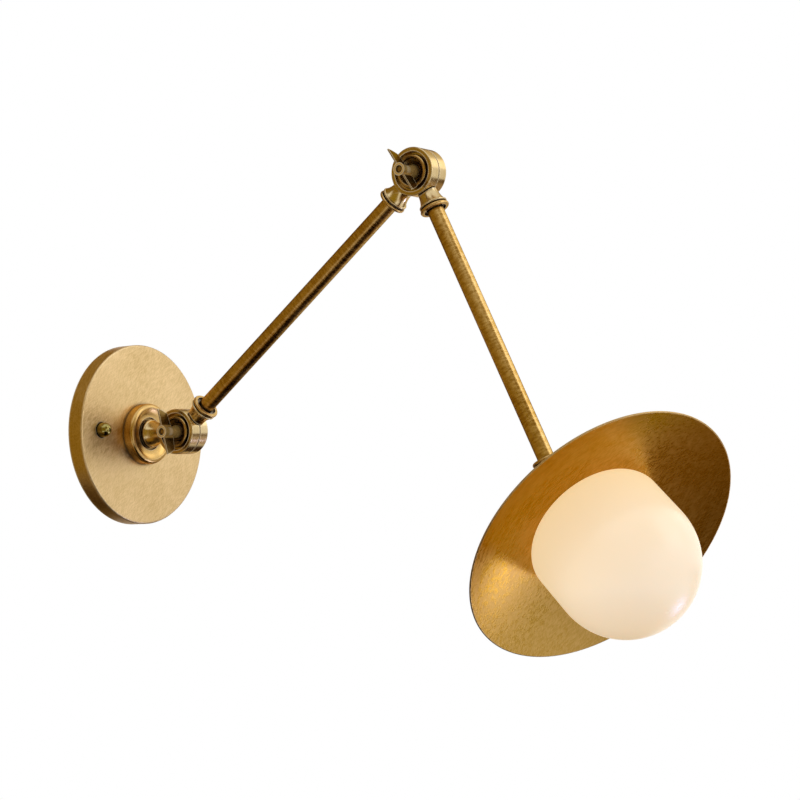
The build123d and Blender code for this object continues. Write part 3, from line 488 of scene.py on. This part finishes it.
def dress_shade():
    strokes = stroke_finish(SHADE_WAY, SHADE_ACROSS, fine=1000.0, coarse=50.0, turns=(20, 45, 70))
    dish = brass("dish_brass", strokes, light=DISH_LIGHT, deep=DISH_DEEP, mottle=20.0, rough=(0.25, 0.40),
                 bump=0.28, cavity=(1.0, 0.30, 0.85), patina_and_shade=0.4, speckle=0.12, coat=0.0)
    gallery = brass("gallery_brass", ring_finish(SHADE_PIVOT, SHADE_WAY))
    dress(dish, "shade_dish")
    dress(gallery, "shade_cap", "globe_gallery", "globe_lock_ring")
    dress(opal("opal_glass"), "globe")
    dress(frosted("bulb_glass"), "bulb")


def dress_inner_pieces():
    steel = plain("zinc_steel", light=(0.66, 0.66, 0.64, 1), deep=(0.48, 0.48, 0.47, 1), rough=(0.28, 0.45),
                  metallic=1.0)
    green = plain("green_screw", light=(0.10, 0.38, 0.16, 1), deep=(0.05, 0.24, 0.09, 1), rough=(0.3, 0.45),
                  metallic=0.6)
    fibre = plain("fibre", light=(0.22, 0.12, 0.07, 1), deep=(0.12, 0.065, 0.04, 1), rough=(0.6, 0.8))
    flex = plain("flex", light=(0.10, 0.10, 0.10, 1), deep=(0.05, 0.05, 0.05, 1), rough=(0.45, 0.6))
    connector = plain("connector", light=(0.80, 0.40, 0.10, 1), deep=(0.66, 0.30, 0.06, 1), rough=(0.35, 0.5))
    gasket = plain("gasket", light=(0.86, 0.82, 0.74, 1), deep=(0.76, 0.71, 0.62, 1), rough=(0.6, 0.75))
    porcelain = plain("porcelain", light=(0.93, 0.92, 0.88, 1), deep=(0.86, 0.84, 0.79, 1), rough=(0.12, 0.2),
                      bump=0.03)
    bulb_metal = plain("bulb_metal", light=(0.78, 0.75, 0.69, 1), deep=(0.62, 0.60, 0.55, 1),
                       rough=(0.2, 0.34), metallic=1.0)
    dress(steel, "crossbar", "canopy_studs", "stud_lock_nuts", "wall_nipple", "nipple_lock_washer",
          "nipple_lock_nut", "arm_1_pipe", "arm_2_pipe", "swivel_clip", "shade_nipple", "shade_lock_nut")
    dress(green, "ground_screw")
    dress(fibre, "wall_friction_washer", "elbow_friction_washer", "shade_friction_washer")
    dress(flex, "canopy_leads", "arm_1_flex", "arm_2_flex")
    dress(connector, "wire_connectors")
    dress(gasket, "globe_gasket")
    dress(porcelain, "lampholder")
    dress(bulb_metal, "lampholder_shell", "lampholder_contact", "bulb_cap")


def view_place(right, up, back):
    """A place given along the camera's axes from the lamp's middle, in metres."""
    return CENTRE + CAMERA_RIGHT * right + CAMERA_UP * up + CAMERA_BACK * back


def put(thing, place, turn):
    """Places an object in the scene."""
    thing.location = place
    thing.rotation_mode = "QUATERNION"
    thing.rotation_quaternion = turn
    bpy.context.scene.collection.objects.link(thing)


def facing(place):
    """The turn that makes something at a place look at the lamp's middle."""
    return (CENTRE - place).to_track_quat("-Z", "Y")


def softbox(name, place, size, radiance, reflected):
    """A soft lamp, which the brass may reflect or not."""
    width, height = size
    light = bpy.data.lights.new(name, "AREA")
    light.shape = "RECTANGLE"
    light.size = width
    light.size_y = height
    light.energy = radiance * pi * width * height
    light.color = SOFT_WHITE
    lamp = bpy.data.objects.new(name, light)
    lamp.visible_glossy = reflected
    put(lamp, place, facing(place))


def flat_sheet(name, place, turn, size, material):
    right, top = size[0] / 2, size[1] / 2
    mesh = bpy.data.meshes.new(name)
    corners = [(-right, -top, 0), (right, -top, 0), (right, top, 0), (-right, top, 0)]
    mesh.from_pydata(corners, [], [(0, 1, 2, 3)])
    mesh.materials.append(material)
    sheet = bpy.data.objects.new(name, mesh)
    put(sheet, place, turn)
    return sheet


def card(name, place, size, colour):
    """A card with soft edges that shows only in reflections, as a photographer sets beside brass."""
    material, tree = new_material(name)
    half_size = (size[0] / 2, size[1] / 2, 1)
    share = vector_math(tree, "ABSOLUTE", vector_math(tree, "DIVIDE", object_place(tree), half_size))
    sides = add(tree, "ShaderNodeSeparateXYZ", {0: share}).outputs
    outward = scalar_math(tree, "MAXIMUM", sides["X"], sides["Y"])
    cover = spread(tree, outward, CARD_FADE_FROM, 1.0, 1.0, 0.0)
    glow = add(tree, "ShaderNodeEmission", {"Color": colour, "Strength": 1.0}).outputs[0]
    clear = add(tree, "ShaderNodeBsdfTransparent").outputs[0]
    both = add(tree, "ShaderNodeMixShader", {0: cover, 1: clear, 2: glow}).outputs[0]
    add(tree, "ShaderNodeOutputMaterial", {0: both})
    sheet = flat_sheet(name, place, facing(place), size, material)
    sheet.visible_camera = False
    sheet.visible_diffuse = False
    sheet.visible_shadow = False
    sheet.visible_transmission = False
    sheet.visible_volume_scatter = False


def background_rays(tree):
    """One where a camera, glossy or transmission ray looks, else zero."""
    path = add(tree, "ShaderNodeLightPath").outputs
    rays = scalar_math(tree, "MAXIMUM", path["Is Camera Ray"], path["Is Glossy Ray"])
    return scalar_math(tree, "MAXIMUM", rays, path["Is Transmission Ray"])


def make_world():
    """White behind the lamp, and a plainer level for the light that falls on it."""
    world = bpy.data.worlds.new("studio")
    world.use_nodes = True
    world.node_tree.nodes.clear()
    bpy.context.scene.world = world
    tree = world.node_tree
    seen = add(tree, "ShaderNodeBackground", {"Color": WHITE, "Strength": 1.0}).outputs[0]
    falling = {"Color": (*SOFT_WHITE, 1), "Strength": AMBIENT_LEVEL}
    ambient = add(tree, "ShaderNodeBackground", falling).outputs[0]
    both = add(tree, "ShaderNodeMixShader", {0: background_rays(tree), 1: ambient, 2: seen}).outputs[0]
    add(tree, "ShaderNodeOutputWorld", {0: both})


def make_floor():
    """A pale floor with the lamp's shadow, fading into the white background away from it."""
    material, tree = new_material("pale_floor")
    place = object_place(tree)
    cloud = noise(tree, place, FLOOR_CLOUD_SCALE, FLOOR_CLOUD_DETAIL)
    pale = mixed(tree, cloud, FLOOR_DEEP, FLOOR_LIGHT)
    paper = add(tree, "ShaderNodeBsdfDiffuse", {"Color": pale}).outputs[0]
    white = add(tree, "ShaderNodeEmission", {"Color": WHITE, "Strength": 1.0}).outputs[0]
    far_off = spread(tree, vector_math(tree, "LENGTH", place), FADE_FROM, FADE_TO, FADE_LEAST, 1.0)
    fade = scalar_math(tree, "MULTIPLY", far_off, background_rays(tree))
    both = add(tree, "ShaderNodeMixShader", {0: fade, 1: paper, 2: white}).outputs[0]
    add(tree, "ShaderNodeOutputMaterial", {0: both})
    level = Matrix.Identity(3).to_quaternion()
    flat_sheet("floor", CENTRE + DOWN * FLOOR_DROP, level, (FLOOR_WIDTH, FLOOR_WIDTH), material)


def make_camera():
    """The photograph's camera."""
    data = bpy.data.cameras.new("photo_camera")
    data.lens = CAMERA_LENS
    data.sensor_width = CAMERA_SENSOR
    data.clip_start = CAMERA_NEAR
    data.clip_end = CAMERA_FAR
    camera = bpy.data.objects.new("photo_camera", data)
    turn = Matrix((CAMERA_RIGHT, CAMERA_UP, CAMERA_BACK)).transposed()
    camera.matrix_world = Matrix.Translation(CAMERA_PLACE) @ turn.to_4x4()
    bpy.context.scene.collection.objects.link(camera)
    bpy.context.scene.camera = camera


dress_wall_side()
dress_arm(1, ARM_1_WAY, WALL_PIVOT)
dress_arm(2, ARM_2_WAY, ELBOW_PIVOT, "swivel_bushing")
dress_knuckle("wall", WALL_PIVOT, PIVOT_AXIS)
dress_knuckle("elbow", ELBOW_PIVOT, PIVOT_AXIS)
dress_knuckle("shade", SHADE_PIVOT, SHADE_ACROSS)
dress_shade()
dress_inner_pieces()

make_world()
make_floor()
for name, (place, size, radiance, reflected) in SOFTBOXES.items():
    softbox(name, view_place(*place), size, radiance, reflected)
for name, (place, size, colour) in CARDS.items():
    card(name, view_place(*place), size, colour)
make_camera()
bpy.context.scene.view_settings.view_transform = "Standard"
